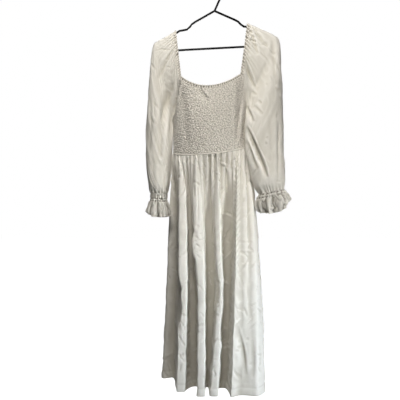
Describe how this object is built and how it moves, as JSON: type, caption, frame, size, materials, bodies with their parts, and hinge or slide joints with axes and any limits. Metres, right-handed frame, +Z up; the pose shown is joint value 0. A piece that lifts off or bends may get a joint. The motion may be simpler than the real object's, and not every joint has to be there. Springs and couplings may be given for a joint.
{
  "type": "peasant dress on a hanger",
  "caption": "Long-sleeved peasant dress with a square elastic neckline, shirred bodice, gathered skirt and ruffled cuffs, hanging on a notched tube hanger.",
  "frame": {"origin": "the point inside the hanger's hook that rests on a rail", "axes": "+Z up, the front of the dress faces -Y, +X to the right as seen from the front"},
  "size_m": [0.4743, 0.1965, 1.3486],
  "materials": {
    "cream_cloth": "soft plain weave, cream",
    "shirred_cloth": "plain weave puckered by rows of elastic stitching, cream",
    "hanger_plastic": "gloss moulded black"
  },
  "bodies": {
    "root": {"hanger": "hanger_plastic", "bodice_front": "shirred_cloth", "bodice_back": "shirred_cloth", "neck_casing_front": "shirred_cloth", "neck_casing_back": "shirred_cloth", "neck_casing_left": "shirred_cloth", "neck_casing_right": "shirred_cloth", "sleeve_left": "cream_cloth", "sleeve_right": "cream_cloth", "cuff_ruffle_left": "cream_cloth", "cuff_ruffle_right": "cream_cloth", "skirt_front": "cream_cloth", "skirt_back": "cream_cloth"}
  },
  "joints": []
}
